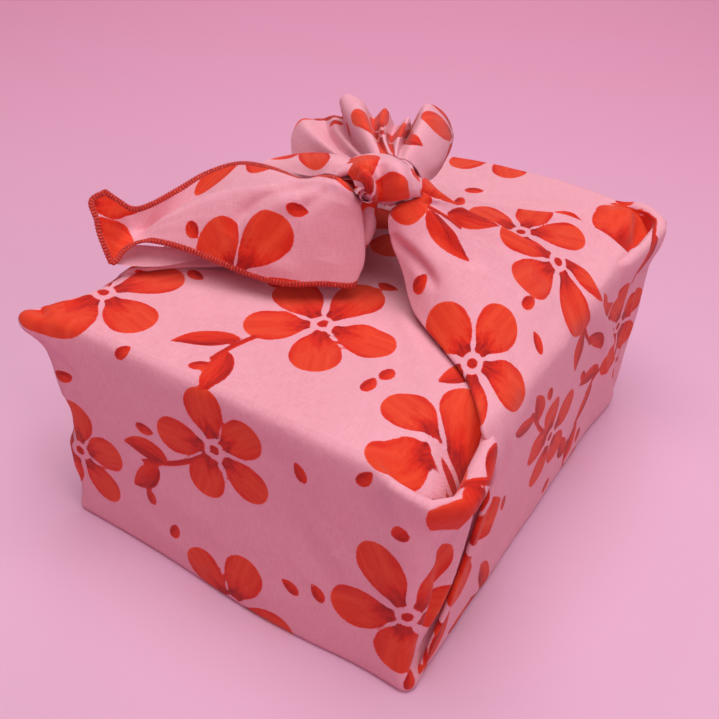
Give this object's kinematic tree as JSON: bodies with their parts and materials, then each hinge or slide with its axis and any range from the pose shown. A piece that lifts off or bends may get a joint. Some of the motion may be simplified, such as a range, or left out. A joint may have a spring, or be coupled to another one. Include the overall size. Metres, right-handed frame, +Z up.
{
  "type": "furoshiki wrap",
  "caption": "Square cotton cloth wrapped round a box-shaped bundle and tied in one knot on top, with two loose tails and a finger gap under the knot.",
  "frame": {"origin": "middle of the flat base on which the bundle rests", "axes": "+Z up; +Y along the bundle's longer side, towards the back; +X to the right, towards one strap"},
  "size_m": [0.2214, 0.2728, 0.1881],
  "materials": {
    "printed_cotton": "matte plain-weave cotton, pink with a red-orange ribbon-bow print and a red overlocked hem"
  },
  "bodies": {
    "root": {"furoshiki_cloth": "printed_cotton"}
  },
  "joints": []
}
